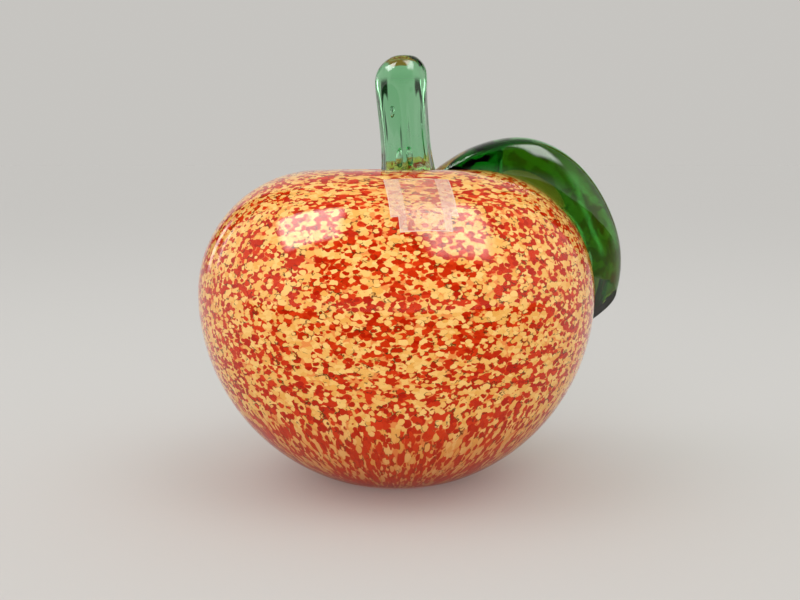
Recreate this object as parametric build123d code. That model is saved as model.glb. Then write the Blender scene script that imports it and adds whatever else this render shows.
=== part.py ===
from build123d import *
from math import asin, atan2, cos, degrees, hypot, pi, radians, sin, sqrt
import os

# Driving dimensions, in millimetres and degrees

# Body, measured on the outside of the clear casing
body_radius = 42.5
rim_radius = 16.2
lip_radius = 7.5
dimple_depth = 6.0
base_flat_radius = 11.5

# Layers of the solid glass body
casing_thickness = 3.0
colour_thickness = 1.2
base_neck_radius = 7.5

# Stem, a solid rod of glass set in the dimple
stem_length = 30.5
stem_knob_radius = 5.6
stem_waist_radius = 5.25
stem_foot_radius = 6.6
stem_flare_height = 11.0
stem_foot_sink = 4.0
stem_offset = 2.6
stem_lean = 3.4

# Leaf, a thick drop of glass drawn over the shoulder and sheared off, with its angles seen from
# the shoulder's centre
leaf_azimuth = 18.0
leaf_root_angle = 116.0
leaf_sweep = 156.0
leaf_crest_angle = 30.0
leaf_rise = 11.6
leaf_draw = 1.15
leaf_root_width = 11.0
leaf_end_width = 7.0
leaf_swell = 18.0
leaf_sink = 8.0
leaf_sections = 10
leaf_cut_angle = -16.0
leaf_cut_skew = 40.0

# Label, a clear film on the front of the shoulder, with a narrower tail at its lower edge
label_width = 12.7
label_height = 15.4
label_tail_width = 9.9
label_tail_height = 3.5
label_corner_radius = 0.8
label_thickness = 0.1
label_azimuth = 8.7
label_angle = 52.6

# Values worked out from the driving dimensions
shoulder_radius = body_radius - rim_radius
middle_height = sqrt(body_radius**2 - base_flat_radius**2)
rim_height = middle_height + shoulder_radius
lip_height = rim_height - lip_radius
dimple_height = rim_height - dimple_depth
dimple_radius = (rim_radius**2 + dimple_depth**2) / (2 * dimple_depth) - lip_radius
lip_turn = degrees(atan2(rim_radius, dimple_height + dimple_radius - lip_height))


def turned(edges):
    return revolve(Plane.XZ * make_face(edges), Axis.Z, 360)


def upper_outline(depth):
    # Arcs from the widest point over the rim to the bottom of the dimple, at a depth under the outside
    dimple_centre = dimple_height + dimple_radius
    return [
        CenterArc((rim_radius, middle_height), shoulder_radius - depth, 0, 90),
        CenterArc((rim_radius, lip_height), lip_radius - depth, 90, lip_turn),
        CenterArc((0, dimple_centre), dimple_radius + depth, lip_turn - 90, -lip_turn),
    ]


def body_outside():
    start = -degrees(asin(middle_height / body_radius))
    belly = CenterArc((0, middle_height), body_radius, start, -start)
    flat = Polyline((0, dimple_height), (0, 0), (base_flat_radius, 0))
    return turned([flat, belly] + upper_outline(0))


def inner_gather(depth, neck_radius):
    # A round of glass under the outside, which comes to the ground base through its neck
    belly = CenterArc((0, middle_height), body_radius - depth, -90, 90)
    axis = Line((0, dimple_height - depth), (0, middle_height - body_radius + depth))
    bulb = turned([axis, belly] + upper_outline(depth))
    low_centre = (Align.CENTER, Align.CENTER, Align.MIN)
    neck = Cylinder(neck_radius, middle_height, align=low_centre)
    above_base = Cylinder(body_radius, rim_height, align=low_centre)
    return (bulb + neck) & above_base


def make_stem(outside):
    # A slightly knobbed rod with a flared foot, cut to the dimple that it is fused to
    knob_height = stem_length - stem_knob_radius
    waist = (stem_waist_radius, stem_flare_height)
    shoulder = (stem_knob_radius, knob_height)
    foot = (stem_foot_radius, 0)
    rise = (stem_knob_radius - stem_waist_radius, knob_height - stem_flare_height)
    edges = [
        Polyline((0, stem_length), (0, -stem_foot_sink), (stem_foot_radius, -stem_foot_sink), foot),
        TangentArc(waist, foot, tangent=(-rise[0], -rise[1])),
        Line(waist, shoulder),
        CenterArc((0, knob_height), stem_knob_radius, 0, 90),
    ]
    place = Pos(stem_offset, 0, dimple_height) * Rot(0, -stem_lean, 0)
    return place * turned(edges) - outside


def leaf_directions(angle):
    # Across the leaf towards the back, out from the shoulder, and down along the leaf
    turn = radians(leaf_azimuth)
    across = Vector(-sin(turn), cos(turn), 0)
    outward = Vector(cos(turn), sin(turn), 0)
    normal = outward * cos(radians(angle)) + Vector(0, 0, sin(radians(angle)))
    return across, normal, across.cross(normal)


def leaf_crest(angle):
    # Height of the leaf's ridge over the shoulder's arc
    turn = (leaf_root_angle - angle) / (leaf_root_angle - leaf_crest_angle)
    return leaf_rise * sin(pi / 2 * turn) ** leaf_draw


def leaf_point(angle, height):
    turn = radians(leaf_azimuth)
    centre = Vector(rim_radius * cos(turn), rim_radius * sin(turn), middle_height)
    return centre + leaf_directions(angle)[1] * (shoulder_radius + height)


def leaf_section(along):
    # One cross-section, square to the shoulder, as a dome over a block that the body later cuts away
    angle = leaf_root_angle - leaf_sweep * along
    across, normal, down = leaf_directions(angle)
    taper = leaf_root_width + (leaf_end_width - leaf_root_width) * along
    half = (taper + leaf_swell * sin(pi * along)) / 2
    edge = -(half**2) / body_radius
    dome = ThreePointArc((-half, edge), (0, leaf_crest(angle)), (half, edge))
    block = Polyline((half, edge), (half, -leaf_sink), (-half, -leaf_sink), (-half, edge))
    return Plane(leaf_point(angle, 0), x_dir=across, z_dir=down) * make_face([dome, block])


def leaf_shear():
    # Everything past the slanted cut that ends the leaf
    across, normal, down = leaf_directions(leaf_cut_angle)
    skew = radians(leaf_cut_skew)
    facing = down * cos(skew) - across * sin(skew)
    face = Plane(leaf_point(leaf_cut_angle, leaf_crest(leaf_cut_angle)), z_dir=facing)
    size = 2 * body_radius
    return face * Box(size, size, size, align=(Align.CENTER, Align.CENTER, Align.MIN))


def make_leaf(outside, stem):
    last = leaf_sections - 1
    sections = [leaf_section(count / last) for count in range(leaf_sections)]
    return loft(sections) - outside - stem - leaf_shear()


def make_label():
    # A thin film bent to the shoulder, with its outline square to the middle of the label
    skin = [
        CenterArc((rim_radius, middle_height), shoulder_radius, 0, 90),
        CenterArc((rim_radius, middle_height), shoulder_radius + label_thickness, 0, 90),
        Line((body_radius, middle_height), (body_radius + label_thickness, middle_height)),
        Line((rim_radius, rim_height), (rim_radius, rim_height + label_thickness)),
    ]
    turn = radians(label_azimuth)
    tilt = radians(label_angle)
    outward = Vector(sin(turn), -cos(turn), 0)
    normal = outward * cos(tilt) + Vector(0, 0, sin(tilt))
    middle = outward * rim_radius + Vector(0, 0, middle_height) + normal * shoulder_radius
    face = Plane(middle, x_dir=(cos(turn), sin(turn), 0), z_dir=normal)
    reach = hypot(label_width, label_height) / 2
    upper = RectangleRounded(label_width, label_height - label_tail_height, label_corner_radius)
    tail = RectangleRounded(label_tail_width, label_height, label_corner_radius)
    outline = Pos(0, label_tail_height / 2) * upper + tail
    return turned(skin) & (face * extrude(outline, reach, both=True))


outside = body_outside()
colour_outside = inner_gather(casing_thickness, base_neck_radius)
core = inner_gather(casing_thickness + colour_thickness, base_neck_radius - colour_thickness)
stem = make_stem(outside)

parts = {
    "clear_core": core,
    "colour_layer": colour_outside - core,
    "clear_casing": outside - colour_outside,
    "stem": stem,
    "leaf": make_leaf(outside, stem),
    "label_film": make_label(),
}

os.makedirs("parts", exist_ok=True)
for name, shape in parts.items():
    export_step(shape, f"parts/{name}.step")
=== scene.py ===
from math import asin, atan2, cos, degrees, pi, radians, sin, sqrt

import bmesh
import bpy
from mathutils import Matrix, Vector


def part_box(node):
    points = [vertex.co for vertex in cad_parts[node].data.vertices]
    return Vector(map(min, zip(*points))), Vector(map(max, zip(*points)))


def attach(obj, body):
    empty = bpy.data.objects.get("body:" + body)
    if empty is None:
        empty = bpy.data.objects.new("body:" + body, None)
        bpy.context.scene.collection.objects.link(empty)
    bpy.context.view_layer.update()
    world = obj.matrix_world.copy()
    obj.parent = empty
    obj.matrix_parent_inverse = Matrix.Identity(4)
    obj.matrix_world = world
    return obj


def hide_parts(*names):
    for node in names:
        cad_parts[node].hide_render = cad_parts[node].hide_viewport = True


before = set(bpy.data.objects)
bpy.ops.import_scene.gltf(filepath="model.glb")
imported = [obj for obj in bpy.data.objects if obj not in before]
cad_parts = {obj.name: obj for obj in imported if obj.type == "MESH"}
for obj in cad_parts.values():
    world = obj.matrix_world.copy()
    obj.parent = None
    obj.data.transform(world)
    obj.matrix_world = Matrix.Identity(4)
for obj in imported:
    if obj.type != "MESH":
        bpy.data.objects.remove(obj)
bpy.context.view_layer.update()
mm = 0.001
tiny = 0.01 * mm    # less than any two places differ by
scene = bpy.context.scene
print("frame loaded:", ", ".join(sorted(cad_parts)))


# Small helpers

def hexColour(code):
    # sRGB hex to the linear colour that a shader wants
    channels = [int(code[i:i + 2], 16) / 255 for i in (1, 3, 5)]
    return [c / 12.92 if c <= 0.04045 else ((c + 0.055) / 1.055) ** 2.4 for c in channels] + [1.0]


def addNode(tree, kind, settings):
    # a socket as value is linked, a socket's name or number takes a value, anything else is a setting
    node = tree.nodes.new(kind)
    for key, value in settings.items():
        if isinstance(value, bpy.types.NodeSocket):
            tree.links.new(value, node.inputs[key])
        elif isinstance(key, int) or key in node.inputs:
            node.inputs[key].default_value = value
        else:
            setattr(node, key, value)
    return node


def newMaterial(name):
    material = bpy.data.materials.new(name)
    material.use_nodes = True
    material.node_tree.nodes.clear()
    return material, material.node_tree


def deselectAll():
    bpy.ops.object.select_all(action="DESELECT")


def pickObject(piece):
    deselectAll()
    piece.select_set(True)
    bpy.context.view_layer.objects.active = piece


def selectVerts(piece, test):
    # picks vertices by place, in edit mode
    mesh = bmesh.from_edit_mesh(piece.data)
    for vert in mesh.verts:
        vert.select = test(vert.co)
    mesh.select_flush_mode()
    bmesh.update_edit_mesh(piece.data)


def selectFaces(piece, test):
    mesh = bmesh.from_edit_mesh(piece.data)
    for face in mesh.faces:
        face.select_set(test(face))
    bmesh.update_edit_mesh(piece.data)


def applyModifier(piece, name, kind, settings):
    modifier = piece.modifiers.new(name, kind)
    for key, value in settings.items():
        setattr(modifier, key, value)
    pickObject(piece)
    bpy.ops.object.modifier_apply(modifier=modifier.name)


def applyPlace(piece):
    pickObject(piece)
    bpy.ops.object.transform_apply(location=True, rotation=True, scale=True)


def finishPiece(piece, node, material, smoothAngle):
    pickObject(piece)
    bpy.ops.object.shade_smooth_by_angle(angle=radians(smoothAngle))
    if material:
        piece.data.materials.append(material)
    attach(piece, "root")
    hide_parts(node)
    print("piece done:", piece.name, len(piece.data.polygons), "faces")


# Camera at the photograph's place

cameraSetup = {
    "place": (0.76 * mm, -240 * mm, 68.6 * mm),
    "pitchDown": 7.03,     # degrees
    "focalPixels": 1111,
    "imageWidth": 800,     # pixels
    "sensorWidth": 36,     # millimetres, as the lens is
    "nearest": 10 * mm,
}

deselectAll()
bpy.ops.object.camera_add(
    location=cameraSetup["place"], rotation=(radians(90 - cameraSetup["pitchDown"]), 0, 0))
camera = bpy.context.object
camera.data.sensor_width = cameraSetup["sensorWidth"]
camera.data.lens = cameraSetup["sensorWidth"] * cameraSetup["focalPixels"] / cameraSetup["imageWidth"]
camera.data.clip_start = cameraSetup["nearest"]
scene.camera = camera
print("camera set, lens", round(camera.data.lens, 1))


# Apple body: sizes that its layers share, from the frame and the construction

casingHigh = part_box("clear_casing")[1]
apple = {
    "bodyRadius": casingHigh.x,
    "rimRadius": 16.2 * mm,
    "lipRadius": 7.5 * mm,
    "dimpleDepth": 6.0 * mm,
    "baseFlat": 11.5 * mm,
    "turnSteps": 192,
    "arcStep": 2.2,    # degrees of outline between two rings
    "mergeGap": 0.002 * mm,
}
apple["middle"] = sqrt(apple["bodyRadius"] ** 2 - apple["baseFlat"] ** 2)
apple["shoulder"] = apple["bodyRadius"] - apple["rimRadius"]
apple["rimHeight"] = apple["middle"] + apple["shoulder"]
apple["lipHeight"] = apple["rimHeight"] - apple["lipRadius"]
apple["dimpleHeight"] = apple["rimHeight"] - apple["dimpleDepth"]
apple["dimpleRadius"] = (
    (apple["rimRadius"] ** 2 + apple["dimpleDepth"] ** 2) / (2 * apple["dimpleDepth"]) - apple["lipRadius"]
)
apple["dimpleCentre"] = apple["dimpleHeight"] + apple["dimpleRadius"]
apple["lipTurn"] = degrees(atan2(apple["rimRadius"], apple["dimpleCentre"] - apple["lipHeight"]))


def startOutline(name, start):
    # one vertex to draw an outline from
    deselectAll()
    bpy.ops.mesh.primitive_plane_add(size=mm, location=(0, 0, 0))
    piece = bpy.context.object
    piece.name = piece.data.name = name
    bpy.ops.object.mode_set(mode="EDIT")
    bpy.ops.mesh.select_all(action="SELECT")
    bpy.ops.mesh.merge(type="CENTER")
    bpy.ops.transform.translate(value=start)
    return piece


def extrudeBy(step):
    bpy.ops.mesh.extrude_region_move(TRANSFORM_OT_translate={"value": step})


def arcAbout(radius, height, angle):
    steps = max(2, round(abs(angle) / apple["arcStep"]))
    bpy.ops.mesh.spin(steps=steps, angle=radians(angle), center=(radius, 0, height), axis=(0, 1, 0))


def turnApple(name, depth, neck, lift):
    # a turned layer: depth under the outside, neck radius at the base, lift of its foot off the ground
    outer = apple["bodyRadius"] - depth
    drop = asin(neck / outer)
    piece = startOutline(name, (0, 0, lift))
    extrudeBy((neck, 0, 0))
    extrudeBy((0, 0, apple["middle"] - outer * cos(drop) - lift))
    arcAbout(0, apple["middle"], 90 - degrees(drop))                    # belly
    arcAbout(apple["rimRadius"], apple["middle"], 90)                   # shoulder
    arcAbout(apple["rimRadius"], apple["lipHeight"], apple["lipTurn"])  # lip
    arcAbout(0, apple["dimpleCentre"], -apple["lipTurn"])               # dimple
    bpy.ops.mesh.select_all(action="SELECT")
    bpy.ops.mesh.spin(steps=apple["turnSteps"], angle=2 * pi, center=(0, 0, 0), axis=(0, 0, 1))
    bpy.ops.mesh.select_all(action="SELECT")
    bpy.ops.mesh.remove_doubles(threshold=apple["mergeGap"])
    bpy.ops.mesh.normals_make_consistent(inside=False)
    bpy.ops.object.mode_set(mode="OBJECT")
    return piece


# Glass: what all the clear pieces share

def fireWaviness(tree, look):
    # slow waves that hot-worked glass keeps, drawn out upwards in a drawn rod
    place = addNode(tree, "ShaderNodeTexCoord", {})
    drawnOut = addNode(tree, "ShaderNodeVectorMath", {
        "operation": "MULTIPLY", 0: place.outputs["Object"], 1: (1, 1, 1 / look["waveStretch"])})
    waves = addNode(tree, "ShaderNodeTexNoise", {
        "Vector": drawnOut.outputs[0], "Scale": 1 / look["waveSize"], "Detail": 1.0, "Roughness": 0.4})
    bump = addNode(tree, "ShaderNodeBump", {
        "Height": waves.outputs[0], "Strength": 1.0, "Distance": look["waveHeight"]})
    return bump.outputs[0]


def clearGlass(name, look, absorb=None, density=0):
    # polished glass that lets lamp light through, with its colour in its depth
    material, tree = newMaterial(name)
    light = addNode(tree, "ShaderNodeLightPath", {})
    glass = addNode(tree, "ShaderNodeBsdfPrincipled", {
        "Base Color": (1, 1, 1, 1), "Roughness": look["roughness"], "IOR": look["ior"],
        "Transmission Weight": 1.0, "Normal": fireWaviness(tree, look)})
    through = addNode(tree, "ShaderNodeBsdfTransparent", {"Color": hexColour(look["shade"])})
    shadow = addNode(tree, "ShaderNodeMixShader", {
        0: light.outputs["Is Shadow Ray"], 1: glass.outputs[0], 2: through.outputs[0]})
    surface = addNode(tree, "ShaderNodeMixShader", {
        0: light.outputs["Is Diffuse Ray"], 1: shadow.outputs[0], 2: through.outputs[0]})
    output = addNode(tree, "ShaderNodeOutputMaterial", {"Surface": surface.outputs[0]})
    if absorb:
        depth = addNode(tree, "ShaderNodeVolumeAbsorption", {
            "Color": hexColour(absorb), "Density": density})
        tree.links.new(depth.outputs[0], output.inputs["Volume"])
    return material


# Clear casing: the outer gather of fire-polished soda-lime glass, which gives gloss and depth

casing = {
    "roughness": 0.0, "ior": 1.5, "waveSize": 14 * mm, "waveStretch": 1, "waveHeight": 0.05 * mm,
    "shade": "#ffffff",    # what its shadow lets through
    "smoothAngle": 40,
}

casingPiece = turnApple("clearCasing", 0, apple["baseFlat"], 0)
casingGlass = clearGlass("fire-polished clear glass", casing)
finishPiece(casingPiece, "clear_casing", casingGlass, casing["smoothAngle"])


# Chip layer: crushed opaque red and cream glass, rolled on and melted flat, which gives a crisp matt speckle
# that is drawn out to streaks at the base

chips = {
    "depth": 3.0 * mm,
    "thickness": 1.2 * mm,
    "neck": 7.5 * mm,
    "lift": 0.2 * mm,
    "drawnFrom": 20,      # degrees under the middle between which the chips start to be drawn to the base
    "drawnTo": 44,
    "drawnEnd": 0.15,     # share of their travel that is left from there on
    "drawnThin": 0.9,     # how much thinner they get on the way to the base
    "rimFrom": 50,        # degrees up the shoulder where they start to spread wider
    "rimShare": 0.55,
    "flat": 1.5,          # how much wider than tall they lie round the middle
    "layers": [           # chip spacing in mm, least and most reach as shares of it, from the bottom up
        (2.05, 0.55, 0.85),
        (1.7, 0.45, 0.75),
        (1.38, 0.38, 0.62),
    ],
    "edge": 0.09,         # softness of a chip's outline, as a share of the spacing
    "wobble": 0.4 * mm,
    "wobbleSize": 1.1 * mm,
    "clusterSize": 6 * mm,
    "clusterWeight": 0.4,
    "redFrom": 0.73,      # sum of chances above which a chip is red
    "chipShadowWidth": 0.09,     # of the painted shadow beside a chip, which stands for the shade it casts on the layer under it, as a share of the spacing
    "chipShadowInner": 0.3,      # share of that next to the chip where the painted shadow is darkest
    "chipShadowPatch": 1.6 * mm,
    "chipShadowFrom": 0.56,      # noise between which the painted shadows show, in patches
    "chipShadowTo": 0.63,
    "reds": ("#b51a03", "#dd3c12"),
    "creams": ("#f2ad52", "#ffcf7c"),
    "ground": "#f0934c",
    # colour of the painted shadow beside the chips
    "gap": "#5e2a0c",
    "lowFrom": -19 * mm,  # heights before the drawing between which the colours turn redder and darker, partly the chips' own red and partly painted shade
    "lowTo": -26 * mm,
    # more red chips and a redder, darker tint near the base: partly the chips' own drawn-in red, partly
    # painted shade of the underside
    "baseRedChanceAndShade": 0.3,
    "baseRedTintAndShade": "#c43c05",
    "baseTintAndShadeShare": 0.72,
    "underLeafTint": "#dd8a3e",    # what they run together to under the leaf, which is laid on hot
    "underLeafShare": 0.6,
    "underLeafNear": 2.6 * mm,     # gaps to the leaf between which that fades out
    "underLeafFar": 4.4 * mm,
    "roughness": 0.5,
    "smoothAngle": 40,
}


def drawnPlace(point):
    # where a chip lay before the glass was drawn in to the base and over the rim
    radius = sqrt(point.x ** 2 + point.y ** 2)
    rise = point.z - apple["middle"]
    if rise < 0:
        angle = degrees(atan2(-rise, radius))
        span = chips["drawnTo"] - chips["drawnFrom"]
        past = min(max(0, angle - chips["drawnFrom"]) / span, 1)
        slow = span * past * (1 - (1 - chips["drawnEnd"]) * past / 2)
        slow += max(0, angle - chips["drawnTo"]) * chips["drawnEnd"]
        thin = 1 + chips["drawnThin"] * max(0, angle - chips["drawnFrom"]) / (90 - chips["drawnFrom"])
        angle = min(angle, chips["drawnFrom"]) + slow
        reach = apple["bodyRadius"] - chips["depth"]
        radius, rise = reach * thin * cos(radians(angle)), -reach * sin(radians(angle))
    else:
        angle = degrees(atan2(rise, max(radius - apple["rimRadius"], 0)))
        past = max(0, angle - chips["rimFrom"]) / (90 - chips["rimFrom"])
        spread = 1 - (1 - chips["rimShare"]) * past
        rimRise = apple["shoulder"] - chips["depth"]
        radius, rise = radius * spread, rimRise + (rise - rimRise) * spread
    around = atan2(point.y, point.x)
    return radius * cos(around), radius * sin(around), rise * chips["flat"]


chipPiece = turnApple("chipLayer", chips["depth"], chips["neck"], chips["lift"])
pickObject(chipPiece)
bpy.ops.object.mode_set(mode="EDIT")
bpy.ops.mesh.select_mode(type="VERT")
selectVerts(chipPiece, lambda co: co.z < chips["lift"] + tiny and co.xy.length < chips["neck"] / 2)
bpy.ops.mesh.delete(type="VERT")    # opens the neck, which the clear heart comes through
bpy.ops.object.mode_set(mode="OBJECT")
applyModifier(chipPiece, "layer", "SOLIDIFY", {"thickness": chips["thickness"], "offset": -1.0})

drawn = chipPiece.data.attributes.new("drawn", "FLOAT_VECTOR", "POINT")
for vert, place in zip(chipPiece.data.vertices, drawn.data):
    place.vector = drawnPlace(vert.co)

chipGlass, tree = newMaterial("melted red and cream glass chips")
before = addNode(tree, "ShaderNodeAttribute", {"attribute_name": "drawn"}).outputs["Vector"]

# uneven outlines: the place is pushed about by a fine noise
wobble = addNode(tree, "ShaderNodeTexNoise", {
    "Vector": before, "Scale": 1 / chips["wobbleSize"], "Detail": 1.0, "Roughness": 0.5})
centred = addNode(tree, "ShaderNodeVectorMath", {
    "operation": "SUBTRACT", 0: wobble.outputs["Color"], 1: (0.5, 0.5, 0.5)})
shift = addNode(tree, "ShaderNodeVectorMath", {
    "operation": "SCALE", 0: centred.outputs[0], "Scale": 2 * chips["wobble"]})
uneven = addNode(tree, "ShaderNodeVectorMath", {
    "operation": "ADD", 0: before, 1: shift.outputs[0]}).outputs[0]
# patches where the painted shadow beside the chips shows
chipShadowNoise = addNode(tree, "ShaderNodeTexNoise", {"Vector": before, "Scale": 1 / chips["chipShadowPatch"]})
chipShadowPlaces = addNode(tree, "ShaderNodeMapRange", {
    "Value": chipShadowNoise.outputs[0], "From Min": chips["chipShadowFrom"], "From Max": chips["chipShadowTo"]}).outputs[0]


def nearBase(place):
    # 0 above, 1 at the base, where there are more red chips and the painted base shade is strongest
    height = addNode(tree, "ShaderNodeSeparateXYZ", {0: place})
    return addNode(tree, "ShaderNodeMapRange", {
        "Value": height.outputs[2], "From Min": chips["lowFrom"] * chips["flat"],
        "From Max": chips["lowTo"] * chips["flat"]}).outputs[0]


# chips lie over each other, and each is all red or all cream by chance, by its cluster and by its height,
# where the extra red near the base is partly painted shade
colour = hexColour(chips["ground"])
for spacing, least, most in chips["layers"]:
    cells = addNode(tree, "ShaderNodeTexVoronoi", {"Vector": uneven, "Scale": 1 / (spacing * mm)})
    chance = addNode(tree, "ShaderNodeSeparateColor", {0: cells.outputs["Color"]})
    cluster = addNode(tree, "ShaderNodeTexNoise", {
        "Vector": cells.outputs["Position"], "Scale": 1 / chips["clusterSize"], "Detail": 1.0})
    share = addNode(tree, "ShaderNodeMath", {
        "operation": "MULTIPLY_ADD", 0: cluster.outputs[0], 1: chips["clusterWeight"],
        2: chance.outputs[1]})
    share = addNode(tree, "ShaderNodeMath", {
        "operation": "MULTIPLY_ADD", 0: nearBase(cells.outputs["Position"]), 1: chips["baseRedChanceAndShade"],
        2: share.outputs[0]})
    isRed = addNode(tree, "ShaderNodeMath", {
        "operation": "GREATER_THAN", 0: share.outputs[0], 1: chips["redFrom"]})
    redGlass = addNode(tree, "ShaderNodeMix", {
        "data_type": "RGBA", 0: chance.outputs[2],
        6: hexColour(chips["reds"][0]), 7: hexColour(chips["reds"][1])})
    creamGlass = addNode(tree, "ShaderNodeMix", {
        "data_type": "RGBA", 0: chance.outputs[2],
        6: hexColour(chips["creams"][0]), 7: hexColour(chips["creams"][1])})
    chipColour = addNode(tree, "ShaderNodeMix", {
        "data_type": "RGBA", 0: isRed.outputs[0], 6: creamGlass.outputs[2], 7: redGlass.outputs[2]})
    reach = addNode(tree, "ShaderNodeMapRange", {
        "Value": chance.outputs[0], "To Min": least, "To Max": most})
    inside = addNode(tree, "ShaderNodeMath", {
        "operation": "SUBTRACT", 0: reach.outputs[0], 1: cells.outputs["Distance"]}).outputs[0]
    # a painted shadow in a thin band just outside each chip, for the shade it casts on the layer under it
    chipShadowBand = addNode(tree, "ShaderNodeMapRange", {
        "Value": inside, "From Min": -chips["chipShadowWidth"], "From Max": -chips["chipShadowInner"] * chips["chipShadowWidth"]})
    chipShadowMask = addNode(tree, "ShaderNodeMath", {
        "operation": "MULTIPLY", 0: chipShadowBand.outputs[0], 1: chipShadowPlaces})
    shadowed = addNode(tree, "ShaderNodeMix", {
        "data_type": "RGBA", 0: chipShadowMask.outputs[0], 6: colour, 7: hexColour(chips["gap"])})
    chipMask = addNode(tree, "ShaderNodeMapRange", {
        "Value": inside, "From Min": 0.0, "From Max": chips["edge"]})
    overlaid = addNode(tree, "ShaderNodeMix", {
        "data_type": "RGBA", 0: chipMask.outputs[0], 6: shadowed.outputs[2], 7: chipColour.outputs[2]})
    colour = overlaid.outputs[2]

# redder, darker colour towards the base: partly the chips' own drawn-in red, partly painted shade of the
# underside
deep = addNode(tree, "ShaderNodeMath", {
    "operation": "MULTIPLY", 0: nearBase(before), 1: chips["baseTintAndShadeShare"]})
baseTintedAndShaded = addNode(tree, "ShaderNodeMix", {
    "data_type": "RGBA", 0: deep.outputs[0], 6: colour, 7: hexColour(chips["baseRedTintAndShade"])})

# run together under the leaf, by an attribute that is filled in once the leaf is made
leafOver = addNode(tree, "ShaderNodeAttribute", {"attribute_name": "underLeaf"})
melted = addNode(tree, "ShaderNodeMix", {
    "data_type": "RGBA", 0: leafOver.outputs["Fac"], 6: baseTintedAndShaded.outputs[2],
    7: hexColour(chips["underLeafTint"])})
glass = addNode(tree, "ShaderNodeBsdfPrincipled", {    # no gloss of its own, as the casing lies on it
    "Base Color": melted.outputs[2], "Roughness": chips["roughness"], "Specular IOR Level": 0.0})
addNode(tree, "ShaderNodeOutputMaterial", {"Surface": glass.outputs[0]})
finishPiece(chipPiece, "colour_layer", chipGlass, chips["smoothAngle"])


# Clear heart: the first gather of soda-lime glass, a clear eye that is seen only through the base

heart = {
    "depth": 4.2 * mm, "neck": 6.3 * mm, "lift": 0.2 * mm,
    "roughness": 0.0, "ior": 1.5, "waveSize": 14 * mm, "waveStretch": 1, "waveHeight": 0.05 * mm,
    "shade": "#ffffff",
    "smoothAngle": 40,
}

heartPiece = turnApple("clearHeart", heart["depth"], heart["neck"], heart["lift"])
heartGlass = clearGlass("clear glass heart", heart)
finishPiece(heartPiece, "clear_core", heartGlass, heart["smoothAngle"])


# Stem: a drawn rod of pale green glass with tooling ridges and a rounded knob, clear in the middle, deeper
# green along its edges and with streaky gloss

stem = {
    "sides": 28,
    "ridgeEvery": 4,
    "twist": 2.5,      # degrees from ring to ring
    "rings": [         # height, sideways and radius in mm and the ridges' rise, from foot to knob
        (60.4, 2.9, 6.3, 1.1),
        (61.2, 2.85, 6.9, 1.1),
        (63.4, 2.75, 6.4, 1.12),
        (66.2, 2.65, 5.6, 1.14),
        (70.0, 2.25, 5.05, 1.15),
        (75.0, 1.75, 4.95, 1.15),
        (80.0, 1.35, 5.1, 1.13),
        (83.6, 1.0, 5.45, 1.06),
        (86.4, 0.95, 5.75, 1.0),
        (89.0, 1.3, 5.0, 1.0),
        (90.9, 1.6, 3.0, 1.0),
        (91.3, 1.7, 1.2, 1.0),
    ],
    "smoothLevels": 3,
    "roughness": 0.0,
    "ior": 1.7,        # matched, above that of common glass
    "waveSize": 2.6 * mm, "waveStretch": 7, "waveHeight": 0.22 * mm,
    "shade": "#cfe8c4",
    "absorb": "#4fdf88",
    "density": 125,    # of its colour, for each metre
    "bubbles": [       # sideways, forward, height, half width and half height in mm
        (-0.1, 1.0, 79.5, 0.45, 1.3),
        (1.6, 0.5, 69.6, 0.95, 2.3),
    ],
    "bubbleRings": 12,
    "smoothAngle": 180,
}

deselectAll()
foot = stem["rings"][0]
bpy.ops.mesh.primitive_circle_add(
    vertices=stem["sides"], radius=foot[2] * mm, fill_type="NGON", location=(0, 0, 0))
stemPiece = bpy.context.object
stemPiece.name = stemPiece.data.name = "stemRod"
bpy.ops.object.mode_set(mode="EDIT")
bpy.ops.mesh.select_all(action="SELECT")
bpy.ops.transform.translate(value=(foot[1] * mm, 0, foot[0] * mm))
for below, above in zip(stem["rings"], stem["rings"][1:]):
    extrudeBy(((above[1] - below[1]) * mm, 0, (above[0] - below[0]) * mm))
    ringMiddle = (above[1] * mm, 0, above[0] * mm)
    grow = above[2] / below[2]
    bpy.ops.transform.resize(value=(grow, grow, 1), center_override=ringMiddle)


def onRidge(co, ring, turn):
    # every few sides of one ring, turned a little from ring to ring
    side = (degrees(atan2(co.y, co.x - ring[1] * mm)) - turn) * stem["sides"] / 360
    return abs(co.z - ring[0] * mm) < tiny and round(side) % stem["ridgeEvery"] == 0


for count, ring in enumerate(stem["rings"]):
    selectVerts(stemPiece, lambda co: onRidge(co, ring, count * stem["twist"]))
    bpy.ops.transform.resize(value=(ring[3], ring[3], 1), center_override=(ring[1] * mm, 0, ring[0] * mm))
bpy.ops.mesh.select_all(action="SELECT")
bpy.ops.mesh.normals_make_consistent(inside=False)
bpy.ops.object.mode_set(mode="OBJECT")
applyModifier(stemPiece, "smooth", "SUBSURF", {
    "levels": stem["smoothLevels"], "render_levels": stem["smoothLevels"]})

# bubbles of air that the rod was drawn out with: closed hollows, so they face inwards
for sideways, forward, height, halfWidth, halfHeight in stem["bubbles"]:
    deselectAll()
    bpy.ops.mesh.primitive_uv_sphere_add(
        segments=2 * stem["bubbleRings"], ring_count=stem["bubbleRings"], radius=mm,
        location=(sideways * mm, -forward * mm, height * mm), scale=(halfWidth, halfWidth, halfHeight))
    bubble = bpy.context.object
    applyPlace(bubble)
    bpy.ops.object.mode_set(mode="EDIT")
    bpy.ops.mesh.select_all(action="SELECT")
    bpy.ops.mesh.flip_normals()
    bpy.ops.object.mode_set(mode="OBJECT")
    pickObject(stemPiece)
    bubble.select_set(True)
    bpy.ops.object.join()
stemGlass = clearGlass("pale green drawn glass", stem, stem["absorb"], stem["density"])
finishPiece(stemPiece, "stem", stemGlass, stem["smoothAngle"])


# Leaf: a thick drop of deep green glass laid over the shoulder, sheared off at a slant, dark and rich where
# it is thick, paler at its rim and with a wet gloss

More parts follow.
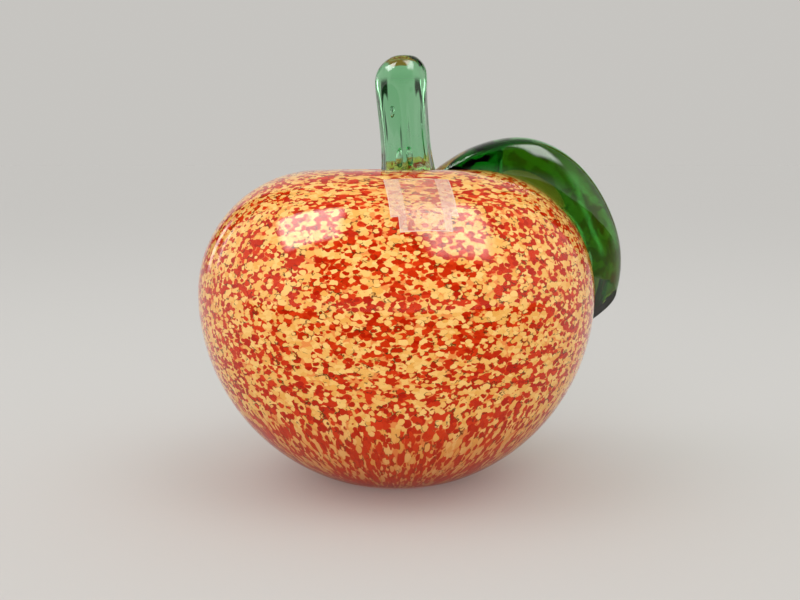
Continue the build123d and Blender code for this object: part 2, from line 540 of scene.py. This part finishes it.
leaf = {
    "azimuth": 18,          # degrees from the right towards the back
    "rings": [              # angle up from the shoulder's centre, crest and half width in mm, tip to root
        (-40, 2.2, 6.5),
        (-20, 5.7, 8.8),
        (-4, 7.7, 10.6),
        (14, 9.5, 12.2),
        (32, 9.3, 13.4),
        (50, 10.3, 13.4),
        (68, 10.0, 12.3),
        (80, 7.1, 9.4),
        (92, 4.1, 6.6),
        (104, 1.2, 4.2),
        (116, 0.0, 2.6),
    ],
    "sink": 4,
    "section": [            # across from front to back and height, as shares of a ring's half sizes
        (-0.8, -1.0), (-1.0, -0.6), (-1.0, 0.23), (-0.88, 0.77), (-0.5, 1.0),
        (0.1, 0.97), (0.6, 0.65), (0.95, -0.1), (1.0, -0.65), (0.8, -1.0),
    ],
    "cutAngle": -15.5,      # degrees, where the shear crosses its middle, and how far that is turned
    "cutSkew": 39,
    "cutEdge": 0.35 * mm,
    "cutFlatness": 0.001 * mm,
    "fuseDepth": 0.6 * mm,  # how far its underside lies in the casing, as fused glass
    "smoothLevels": 3,
    "roughness": 0.0,
    "ior": 1.7,             # matched, as the stem's
    "waveSize": 8 * mm, "waveStretch": 1, "waveHeight": 0.15 * mm,
    "shade": "#e6ecc0",
    "absorb": "#60e075",
    "density": 95,
    "smoothAngle": 50,
}


def leafSection(ring):
    # half height, half width and middle height of a ring
    crest, half = ring[1:]
    return (crest + leaf["sink"]) / 2 * mm, half * mm, (crest - leaf["sink"]) / 2 * mm


# a straight bar that stands on its tip, outside to the right
tall, half, middle = leafSection(leaf["rings"][0])
outline = [(height * tall + middle, across * half, 0) for across, height in leaf["section"]]
leafPiece = startOutline("appliedLeaf", outline[0])
for here, there in zip(outline, outline[1:]):
    extrudeBy([b - a for a, b in zip(here, there)])
bpy.ops.mesh.select_all(action="SELECT")
bpy.ops.mesh.edge_face_add()
bpy.ops.mesh.select_all(action="SELECT")
along = 0
for below, above in zip(leaf["rings"], leaf["rings"][1:]):
    newTall, newHalf, newMiddle = leafSection(above)
    step = radians(above[0] - below[0]) * apple["shoulder"]
    along += step
    extrudeBy((newMiddle - middle, 0, step))
    bpy.ops.transform.resize(
        value=(newTall / tall, newHalf / half, 1), center_override=(newMiddle, 0, along))
    tall, half, middle = newTall, newHalf, newMiddle
bpy.ops.mesh.select_all(action="SELECT")
bpy.ops.mesh.normals_make_consistent(inside=False)
bpy.ops.object.mode_set(mode="OBJECT")
applyModifier(leafPiece, "smooth", "SUBSURF", {
    "levels": leaf["smoothLevels"], "render_levels": leaf["smoothLevels"]})

# bent round the shoulder's centre and turned to its place
barTurn = leafPiece.dimensions.z / apple["shoulder"]
applyModifier(leafPiece, "bend", "SIMPLE_DEFORM", {
    "deform_method": "BEND", "deform_axis": "Y", "angle": -barTurn})
turn, tipAngle = radians(leaf["azimuth"]), radians(leaf["rings"][0][0])
shoulderCentre = Vector((apple["rimRadius"] * cos(turn), apple["rimRadius"] * sin(turn), apple["middle"]))
leafPiece.matrix_world = (
    Matrix.Translation(shoulderCentre) @ Matrix.Rotation(turn, 4, "Z") @ Matrix.Rotation(-tipAngle, 4, "Y")
    @ Matrix.Translation((apple["shoulder"], 0, 0)))
applyPlace(leafPiece)

# what lies in the apple is drawn out to just under its surface
seat = turnApple("seat", leaf["fuseDepth"], apple["baseFlat"], 0)
applyModifier(leafPiece, "seat", "SHRINKWRAP", {
    "target": seat, "wrap_method": "NEAREST_SURFACEPOINT", "wrap_mode": "OUTSIDE"})
bpy.data.objects.remove(seat)

# slanted shear at the tip
across = Vector((-sin(turn), cos(turn), 0))
cutAngle, skew = radians(leaf["cutAngle"]), radians(leaf["cutSkew"])
normal = Vector((cos(turn) * cos(cutAngle), sin(turn) * cos(cutAngle), sin(cutAngle)))
facing = across.cross(normal) * cos(skew) - across * sin(skew)
cutPoint = shoulderCentre + normal * apple["shoulder"]
pickObject(leafPiece)
bpy.ops.object.mode_set(mode="EDIT")
bpy.ops.mesh.select_all(action="SELECT")
cutBack = cutPoint - facing * leaf["cutEdge"]
bpy.ops.mesh.bisect(plane_co=cutBack, plane_no=facing, use_fill=True, clear_outer=True)
bpy.ops.mesh.select_mode(type="FACE")
selectFaces(leafPiece, lambda face: all(
    abs((vert.co - cutBack).dot(facing)) < leaf["cutFlatness"] for vert in face.verts))
bpy.ops.mesh.inset(thickness=leaf["cutEdge"], depth=leaf["cutEdge"])    # a fine edge round the facet
bpy.ops.object.mode_set(mode="OBJECT")

leafGlass = clearGlass("deep green applied glass", leaf, leaf["absorb"], leaf["density"])
finishPiece(leafPiece, "leaf", leafGlass, leaf["smoothAngle"])
applyModifier(leafPiece, "flat facet", "WEIGHTED_NORMAL", {"keep_sharp": True})

# the chips under it are marked by their gap to it
underLeaf = chipPiece.data.attributes.new("underLeaf", "FLOAT", "POINT")
fadeLength = chips["underLeafFar"] - chips["underLeafNear"]
for vert, mark in zip(chipPiece.data.vertices, underLeaf.data):
    nearest = leafPiece.closest_point_on_mesh(vert.co)[1]
    gap = (nearest - vert.co).length
    mark.value = chips["underLeafShare"] * min(max(0, chips["underLeafFar"] - gap) / fadeLength, 1)
print("chips marked under the leaf")


# Label: a bare clear film of polypropylene stuck on the front of the shoulder, with a narrower tail, which
# gives a faint haze, two frosted sides and a pale line along its cut edge

label = {
    "width": 12.7 * mm,
    "height": 15.4 * mm,
    "tailWidth": 9.9 * mm,
    "tailHeight": 3.5 * mm,
    "thickness": 0.08 * mm,
    "clearance": 0.01 * mm,
    "azimuth": 8.7,        # degrees to the right of the front, and up the shoulder
    "angle": 52.6,
    "startGap": 3 * mm,    # over the shoulder, from where it is pressed on
    "cornerGap": 0.1 * mm,
    "cuts": 11,
    "edge": 0.2 * mm,
    "film": "#efd8c4",
    "roughness": 0.3,
    "ior": 1.49,
    "edgeHaze": 0.5,
    "clearHaze": 0.14,
    "frostHaze": 0.35,
    "frostWidth": 0.22,    # share of the width at each side that is frosted
    "frostFade": 0.01,
    "frostGrain": 0.35 * mm,
    "grainNoise": (0.3, 0.7),
    "grainShare": (0.75, 1.25),
    "smoothAngle": 60,
}

turn, tilt = radians(label["azimuth"]), radians(label["angle"])
outward = Vector((sin(turn), -cos(turn), 0))
normal = outward * cos(tilt) + Vector((0, 0, sin(tilt)))
sideways = Vector((cos(turn), sin(turn), 0))
upward = normal.cross(sideways)
filmMiddle = outward * apple["rimRadius"] + Vector((0, 0, apple["middle"]))
filmMiddle += normal * (apple["shoulder"] + label["startGap"])
deselectAll()
bpy.ops.mesh.primitive_plane_add(size=1, location=(0, 0, 0))
labelPiece = bpy.context.object
labelPiece.name = labelPiece.data.name = "labelFilm"
bpy.ops.object.mode_set(mode="EDIT")
bpy.ops.mesh.select_all(action="SELECT")
bpy.ops.transform.resize(value=(label["width"], label["height"], 1), center_override=(0, 0, 0))
tailTop = label["tailHeight"] - label["height"] / 2
for cutAt, cutFacing in [
    ((0, tailTop, 0), (0, 1, 0)),
    ((-label["tailWidth"] / 2, 0, 0), (1, 0, 0)),
    ((label["tailWidth"] / 2, 0, 0), (1, 0, 0)),
]:
    bpy.ops.mesh.select_all(action="SELECT")
    bpy.ops.mesh.bisect(plane_co=cutAt, plane_no=cutFacing)
selectVerts(labelPiece, lambda co: (
    co.y < tailTop - label["cornerGap"] and abs(co.x) > label["tailWidth"] / 2 + label["cornerGap"]))
bpy.ops.mesh.delete(type="VERT")    # the two lower corners
bpy.ops.mesh.select_mode(type="FACE")
bpy.ops.mesh.select_all(action="SELECT")
bpy.ops.mesh.inset(thickness=label["edge"], depth=0)    # a rim along the cut edge
bpy.ops.mesh.select_all(action="INVERT")
filmEdge, tree = newMaterial("cut edge of the film")
edgeSkin = addNode(tree, "ShaderNodeBsdfPrincipled", {
    "Base Color": hexColour(label["film"]), "Roughness": label["roughness"], "IOR": label["ior"],
    "Alpha": label["edgeHaze"]})
addNode(tree, "ShaderNodeOutputMaterial", {"Surface": edgeSkin.outputs[0]})
labelFilm, tree = newMaterial("clear polypropylene film")
labelPiece.data.materials.append(labelFilm)
labelPiece.data.materials.append(filmEdge)
labelPiece.active_material_index = 1
bpy.ops.object.material_slot_assign()
bpy.ops.mesh.select_all(action="SELECT")
bpy.ops.mesh.subdivide(number_cuts=label["cuts"])
bpy.ops.object.mode_set(mode="OBJECT")
labelPiece.matrix_world = (
    Matrix.Translation(filmMiddle) @ Matrix((sideways, upward, normal)).transposed().to_4x4())
applyModifier(labelPiece, "wrap", "SHRINKWRAP", {
    "target": casingPiece, "wrap_method": "PROJECT", "use_project_z": True, "use_negative_direction": True,
    "use_positive_direction": False, "offset": label["clearance"]})
applyPlace(labelPiece)
applyModifier(labelPiece, "film", "SOLIDIFY", {"thickness": label["thickness"], "offset": 1.0})

# frosted at both sides, clear between, with the fine speckle of frosting
place = addNode(tree, "ShaderNodeTexCoord", {})
acrossFilm = addNode(tree, "ShaderNodeSeparateXYZ", {0: place.outputs["UV"]})
offset = addNode(tree, "ShaderNodeMath", {"operation": "SUBTRACT", 0: acrossFilm.outputs[0], 1: 0.5})
fromMiddle = addNode(tree, "ShaderNodeMath", {"operation": "ABSOLUTE", 0: offset.outputs[0]})
frostStart = 0.5 - label["frostWidth"]
frosted = addNode(tree, "ShaderNodeMapRange", {
    "Value": fromMiddle.outputs[0], "From Min": frostStart - label["frostFade"], "From Max": frostStart,
    "To Min": label["clearHaze"], "To Max": label["frostHaze"]})
speckle = addNode(tree, "ShaderNodeTexNoise", {
    "Vector": place.outputs["Object"], "Scale": 1 / label["frostGrain"], "Detail": 1.0})
speckled = addNode(tree, "ShaderNodeMapRange", {
    "Value": speckle.outputs[0], "From Min": label["grainNoise"][0], "From Max": label["grainNoise"][1],
    "To Min": label["grainShare"][0], "To Max": label["grainShare"][1]})
haze = addNode(tree, "ShaderNodeMath", {
    "operation": "MULTIPLY", 0: frosted.outputs[0], 1: speckled.outputs[0]})
film = addNode(tree, "ShaderNodeBsdfPrincipled", {
    "Base Color": hexColour(label["film"]), "Roughness": label["roughness"], "IOR": label["ior"],
    "Alpha": haze.outputs[0]})
addNode(tree, "ShaderNodeOutputMaterial", {"Surface": film.outputs[0]})
finishPiece(labelPiece, "label_film", None, label["smoothAngle"])


# Studio: pale floor that runs into a pale backdrop, soft-edged lamps

studio = {
    "floor": "#cbc9c5",
    "floorRoughness": 0.8,
    "floorSize": 60,
    "floorDrop": 0.05 * mm,
    "ambient": 0.85,
    "overhead": 0.25,       # how dim the backdrop gets overhead, and from which rise to which it dims
    "overheadFrom": 0.2,
    "overheadTo": 0.95,
    "fill": 1.0,            # even light from the front, with its rise, turn and spread in degrees
    "fillRise": 18,
    "fillTurn": -8,
    "fillSpread": 50,
    "target": (0, 0, 50 * mm),    # what the lamps face
    "lamps": [    # a lamp gives light, a reflection or a glow through the glass
        {"name": "keyLeft", "gives": "light", "place": (-0.3, -0.12, 0.55), "across": (1, 0, 0),
         "size": (0.5, 0.5), "radiance": 1.12, "soft": 0.3},
        {"name": "keyRight", "gives": "light", "place": (0.27, -0.17, 0.64), "across": (1, 0, 0),
         "size": (0.5, 0.5), "radiance": 1.12, "soft": 0.3},
        {"name": "softboxLeft", "gives": "reflection", "place": (-0.36, -0.05, 0.54),
         "across": (0.77, -0.35, 0.54), "size": (0.36, 0.38), "radiance": 6.2, "soft": 0.15},
        {"name": "softboxRight", "gives": "reflection", "place": (0.25, -0.16, 0.59),
         "across": (0.81, 0.53, -0.23), "size": (0.46, 0.72), "radiance": 5.0, "soft": 0.25},
        {"name": "stripBack", "gives": "reflection", "place": (-0.43, 0.478, 0.16),
         "across": (0.6, 0.64, -0.46), "size": (0.08, 0.26), "radiance": 1.6, "soft": 0.3},
        {"name": "stripSide", "gives": "reflection", "place": (-0.6, 0.48, 0.26),
         "across": (0.5, 0.64, -0.46), "size": (0.06, 0.4), "radiance": 1.3, "soft": 0.3},
        {"name": "backLeft", "gives": "glow", "place": (-0.6, 0.36, 0.25), "across": (0.51, 0.86, 0),
         "size": (0.12, 0.5), "radiance": 2.4, "soft": 0.3},
        {"name": "backRight", "gives": "glow", "place": (0.6, 0.36, 0.25), "across": (0.51, -0.86, 0),
         "size": (0.12, 0.5), "radiance": 3.4, "soft": 0.3},
    ],
    "cardPaints": {"dark": "#1c1a17", "amber": "#c87a3c"},
    "cardRoughness": 0.9,
    "cardSoft": 0.2,
    "cards": [    # middle and size in metres, lean and turn in degrees, what sees them and their paint
        {"name": "sideLeft", "place": (-0.43, 0.55, 0.4), "size": (0.3, 0.8), "lean": 90, "turn": 38,
         "seenIn": "both", "paint": "dark"},
        {"name": "sideRight", "place": (0.43, 0.55, 0.4), "size": (0.3, 0.8), "lean": 90, "turn": -38,
         "seenIn": "both", "paint": "dark"},
        {"name": "nearLeft", "place": (-0.43, -0.55, 0.4), "size": (0.3, 0.8), "lean": 90, "turn": -38,
         "seenIn": "depth", "paint": "dark"},
        {"name": "nearRight", "place": (0.43, -0.55, 0.4), "size": (0.3, 0.8), "lean": 90, "turn": 38,
         "seenIn": "depth", "paint": "dark"},
        {"name": "frontCloth", "place": (0, -0.9, 1.0), "size": (3.0, 2.2), "lean": 90, "turn": 0,
         "seenIn": "gloss", "paint": "dark"},
        {"name": "floorCloth", "place": (0, -0.42, 0.002), "size": (3.0, 1.0), "lean": 0, "turn": 0,
         "seenIn": "gloss", "paint": "dark"},
        {"name": "hiddenCard", "place": (0.01, 0.115, 0.002), "size": (0.14, 0.18), "lean": 0, "turn": 0,
         "seenIn": "depth", "paint": "amber"},
    ],
}


def softEdges(tree, sides, soft):
    # 0 along the edges of a card or a lamp's diffuser and 1 inside
    along = addNode(tree, "ShaderNodeSeparateXYZ", {0: sides})
    inside = 1.0
    for side in (0, 1):
        fromEdge = addNode(tree, "ShaderNodeMath", {
            "operation": "PINGPONG", 0: along.outputs[side], 1: 0.5})
        fade = addNode(tree, "ShaderNodeMapRange", {
            "interpolation_type": "SMOOTHSTEP", "Value": fromEdge.outputs[0], "From Max": soft})
        inside = addNode(tree, "ShaderNodeMath", {
            "operation": "MULTIPLY", 0: inside, 1: fade.outputs[0]}).outputs[0]
    return inside


deselectAll()
bpy.ops.mesh.primitive_plane_add(size=studio["floorSize"], location=(0, 0, -studio["floorDrop"]))
floor = bpy.context.object
floor.name = floor.data.name = "floor"
floorPaint, tree = newMaterial("pale matte floor")
paint = addNode(tree, "ShaderNodeBsdfPrincipled", {
    "Base Color": hexColour(studio["floor"]), "Roughness": studio["floorRoughness"],
    "Specular IOR Level": 0.0})
addNode(tree, "ShaderNodeOutputMaterial", {"Surface": paint.outputs[0]})
floor.data.materials.append(floorPaint)

# cards which only the glass sees, with edges that fade: dark ones out of the picture at its sides and in
# front, for dark edges and deep colours, and an amber one hidden behind the apple, for warmth in the leaf
cardPaints = {}
for paintName, code in studio["cardPaints"].items():
    cardPaints[paintName], tree = newMaterial(paintName + " matte card")
    cardPlace = addNode(tree, "ShaderNodeTexCoord", {})
    cover = softEdges(tree, cardPlace.outputs["UV"], studio["cardSoft"])
    paint = addNode(tree, "ShaderNodeBsdfPrincipled", {
        "Base Color": hexColour(code), "Roughness": studio["cardRoughness"], "Specular IOR Level": 0.0})
    nothing = addNode(tree, "ShaderNodeBsdfTransparent", {})
    faded = addNode(tree, "ShaderNodeMixShader", {0: cover, 1: nothing.outputs[0], 2: paint.outputs[0]})
    addNode(tree, "ShaderNodeOutputMaterial", {"Surface": faded.outputs[0]})
for card in studio["cards"]:
    deselectAll()
    bpy.ops.mesh.primitive_plane_add(
        size=1, location=card["place"], rotation=(radians(card["lean"]), 0, radians(card["turn"])))
    cardPiece = bpy.context.object
    cardPiece.name = cardPiece.data.name = card["name"]
    cardPiece.scale = (card["size"][0], card["size"][1], 1)
    cardPiece.data.materials.append(cardPaints[card["paint"]])
    cardPiece.visible_camera = cardPiece.visible_diffuse = cardPiece.visible_shadow = False
    cardPiece.visible_glossy = card["seenIn"] != "depth"
    cardPiece.visible_transmission = card["seenIn"] != "gloss"

deselectAll()
bpy.ops.object.light_add(
    type="SUN", rotation=(radians(90 - studio["fillRise"]), 0, radians(studio["fillTurn"])))
fill = bpy.context.object
fill.name = "frontFill"
fill.data.energy = studio["fill"]
fill.data.angle = radians(studio["fillSpread"])
fill.visible_camera = fill.visible_glossy = fill.visible_transmission = False

target = Vector(studio["target"])
for lamp in studio["lamps"]:
    deselectAll()
    place = Vector(lamp["place"])
    bpy.ops.object.light_add(type="AREA", location=place)
    light = bpy.context.object
    light.name = lamp["name"]
    away = (place - target).normalized()
    across = Vector(lamp["across"])
    across = (across - away * across.dot(away)).normalized()
    light.rotation_euler = Matrix((across, away.cross(across), away)).transposed().to_euler()
    light.visible_camera = False
    light.visible_diffuse = lamp["gives"] == "light"
    light.visible_glossy = lamp["gives"] == "reflection"
    light.visible_transmission = lamp["gives"] != "light"
    light.data.shape = "RECTANGLE"
    light.data.size, light.data.size_y = lamp["size"]
    light.data.energy = lamp["radiance"] * pi * lamp["size"][0] * lamp["size"][1]
    light.data.use_nodes = True
    tree = light.data.node_tree
    tree.nodes.clear()
    diffuser = addNode(tree, "ShaderNodeNewGeometry", {})
    glow = softEdges(tree, diffuser.outputs["Parametric"], lamp["soft"])
    emission = addNode(tree, "ShaderNodeEmission", {"Strength": glow})
    addNode(tree, "ShaderNodeOutputLight", {"Surface": emission.outputs[0]})

# the backdrop has the colour of the far floor, so no horizon shows
world = bpy.data.worlds.new("studio")
scene.world = world
world.use_nodes = True
tree = world.node_tree
tree.nodes.clear()
light = addNode(tree, "ShaderNodeLightPath", {})
ambient = addNode(tree, "ShaderNodeBackground", {"Color": (1, 1, 1, 1), "Strength": studio["ambient"]})
direction = addNode(tree, "ShaderNodeTexCoord", {})
rise = addNode(tree, "ShaderNodeSeparateXYZ", {0: direction.outputs["Generated"]})
farFloor = studio["ambient"] + studio["fill"] * sin(radians(studio["fillRise"])) / pi
level = addNode(tree, "ShaderNodeMapRange", {
    "interpolation_type": "SMOOTHSTEP", "Value": rise.outputs[2],
    "From Min": studio["overheadFrom"], "From Max": studio["overheadTo"],
    "To Min": farFloor, "To Max": farFloor * studio["overhead"]})
backdrop = addNode(tree, "ShaderNodeBackground", {
    "Color": hexColour(studio["floor"]), "Strength": level.outputs[0]})
direct = addNode(tree, "ShaderNodeMath", {
    "operation": "MAXIMUM", 0: light.outputs["Is Camera Ray"], 1: light.outputs["Is Glossy Ray"]})
seen = addNode(tree, "ShaderNodeMath", {
    "operation": "MAXIMUM", 0: direct.outputs[0], 1: light.outputs["Is Transmission Ray"]})
mixed = addNode(tree, "ShaderNodeMixShader", {
    0: seen.outputs[0], 1: ambient.outputs[0], 2: backdrop.outputs[0]})
addNode(tree, "ShaderNodeOutputWorld", {"Surface": mixed.outputs[0]})
scene.view_settings.view_transform = "Standard"
print("studio set:", len(studio["lamps"]), "lamps and", len(studio["cards"]), "cards")
